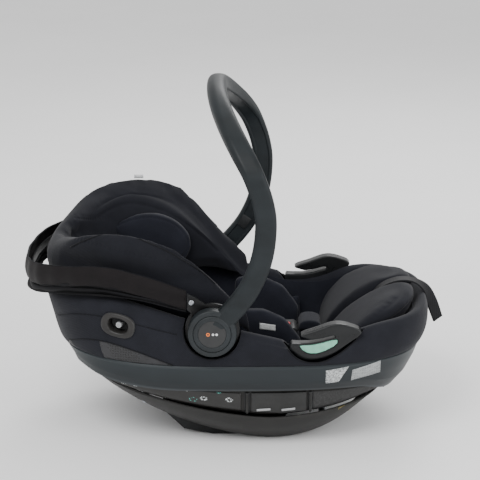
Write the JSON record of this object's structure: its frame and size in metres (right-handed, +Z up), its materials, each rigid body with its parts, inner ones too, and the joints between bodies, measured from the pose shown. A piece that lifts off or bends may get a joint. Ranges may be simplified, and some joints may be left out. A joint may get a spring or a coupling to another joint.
{
  "type": "infant car seat",
  "caption": "Rearward-facing infant car seat with rocker shell, folding canopy, swinging carry handle, sliding headrest, harness and belt guides.",
  "frame": {"origin": "centre of the plan box on the floor plane that the seat stands on", "axes": "+X towards the child's feet, +Y towards the child's left, +Z up"},
  "size_m": [0.69, 0.44, 0.576],
  "materials": {
    "cover_fabric": "charcoal blue knitted jersey",
    "liner_fabric": "soft dark jersey",
    "canopy_fabric": "black plain-woven polyester",
    "mesh_fabric": "black spacer mesh",
    "webbing": "woven polyester webbing",
    "rail_plastic": "fine satin grain, blue grey",
    "shell_plastic": "fine moulded grain, warm charcoal",
    "dark_plastic": "satin black",
    "handle_plastic": "satin blue grey",
    "green_plastic": "satin teal green",
    "red_plastic": "satin red",
    "grey_plastic": "satin light grey",
    "steel": "zinc plated"
  },
  "bodies": {
    "shell": {"shell_tub": "shell_plastic", "rail_right": "rail_plastic", "rail_left": "rail_plastic", "skirt_right": "shell_plastic", "skirt_left": "shell_plastic", "base_block": "dark_plastic", "base_plate": "dark_plastic", "lock_bar_front": "steel", "lock_bar_rear": "steel", "pocket_door_right": "dark_plastic", "pocket_door_left": "dark_plastic", "belt_guide_right": "dark_plastic", "belt_guide_left": "dark_plastic", "belt_guide_insert_right": "green_plastic", "belt_guide_insert_left": "green_plastic", "impact_bezel_right": "shell_plastic", "impact_bezel_left": "shell_plastic", "impact_stud_right": "dark_plastic", "impact_stud_left": "dark_plastic", "hub_housing_right": "dark_plastic", "hub_housing_left": "dark_plastic", "handle_axle_right": "steel", "handle_axle_left": "steel", "outer_cover": "cover_fabric", "mesh_panel_right": "mesh_fabric", "mesh_panel_left": "mesh_fabric", "seat_liner": "liner_fabric", "hip_insert": "liner_fabric", "leg_cushion_right": "cover_fabric", "leg_cushion_left": "cover_fabric", "crotch_pad": "liner_fabric", "crotch_strap": "webbing", "buckle_body": "dark_plastic", "buckle_tongue_right": "steel", "buckle_tongue_left": "steel", "harness_strap_right": "webbing", "harness_strap_left": "webbing", "adjuster_housing": "dark_plastic", "adjuster_strap": "webbing", "canopy_fabric": "canopy_fabric"},
    "handle": {"handle_arch": "handle_plastic", "hub_cap_right": "handle_plastic", "hub_cap_left": "handle_plastic", "grip_badge": "grey_plastic"},
    "handle_button_right": {"handle_button_right": "dark_plastic"},
    "handle_button_left": {"handle_button_left": "dark_plastic"},
    "lock_gear_right": {"lock_gear_right": "grey_plastic"},
    "lock_gear_left": {"lock_gear_left": "grey_plastic"},
    "canopy": {"canopy_bow": "dark_plastic", "canopy_band": "canopy_fabric", "canopy_arm_right": "dark_plastic", "canopy_arm_left": "dark_plastic"},
    "headrest": {"headrest_cover": "cover_fabric", "headrest_panel": "dark_plastic", "head_pillow": "liner_fabric", "shoulder_pad_right": "liner_fabric", "shoulder_pad_left": "liner_fabric"},
    "buckle_button": {"buckle_button": "red_plastic"},
    "adjuster_button": {"adjuster_button": "grey_plastic"},
    "release_lever": {"release_lever": "dark_plastic"}
  },
  "joints": [
    {"name": "handle_swing", "type": "hinge", "parent": "shell", "child": "handle", "pos_m": [-0.034, 0, 0.209], "axis": [0, 1, 0], "range_deg": [-80, 45]},
    {"name": "handle_button_press_right", "type": "slide", "parent": "handle", "child": "handle_button_right", "axis": [0, -1, 0], "range_m": [0, 0.004], "stiffness_N_per_m": 900, "springref_m": -0.002},
    {"name": "handle_button_press_left", "type": "slide", "parent": "handle", "child": "handle_button_left", "axis": [0, 1, 0], "range_m": [0, 0.004], "stiffness_N_per_m": 900, "springref_m": -0.002},
    {"name": "lock_gear_slide_right", "type": "slide", "parent": "handle", "child": "lock_gear_right", "axis": [0, -1, 0], "range_m": [0, 0.004]},
    {"name": "lock_gear_slide_left", "type": "slide", "parent": "handle", "child": "lock_gear_left", "axis": [0, 1, 0], "range_m": [0, 0.004]},
    {"name": "canopy_open", "type": "hinge", "parent": "shell", "child": "canopy", "pos_m": [-0.034, 0, 0.209], "axis": [0, 1, 0], "range_deg": [0, 100], "deforming": ["canopy_fabric"]},
    {"name": "headrest_slide", "type": "slide", "parent": "shell", "child": "headrest", "axis": [0.92, 0, -0.392], "range_m": [0, 0.045]},
    {"name": "buckle_press", "type": "slide", "parent": "shell", "child": "buckle_button", "axis": [0, 0, -1], "range_m": [0, 0.003], "stiffness_N_per_m": 2000, "springref_m": -0.002},
    {"name": "adjuster_press", "type": "slide", "parent": "shell", "child": "adjuster_button", "axis": [0.5193, 0, -0.8546], "range_m": [0, 0.003], "stiffness_N_per_m": 1200, "springref_m": -0.002},
    {"name": "lever_pull", "type": "hinge", "parent": "shell", "child": "release_lever", "pos_m": [0.243, 0, 0.066], "axis": [0, 1, 0], "range_deg": [0, 14], "stiffness_Nm_per_rad": 0.6, "springref_deg": -20.05}
  ],
  "couplings": [
    {"joint": "lock_gear_slide_right", "follows": "handle_button_press_right", "ratio": 1},
    {"joint": "lock_gear_slide_left", "follows": "handle_button_press_left", "ratio": 1}
  ]
}
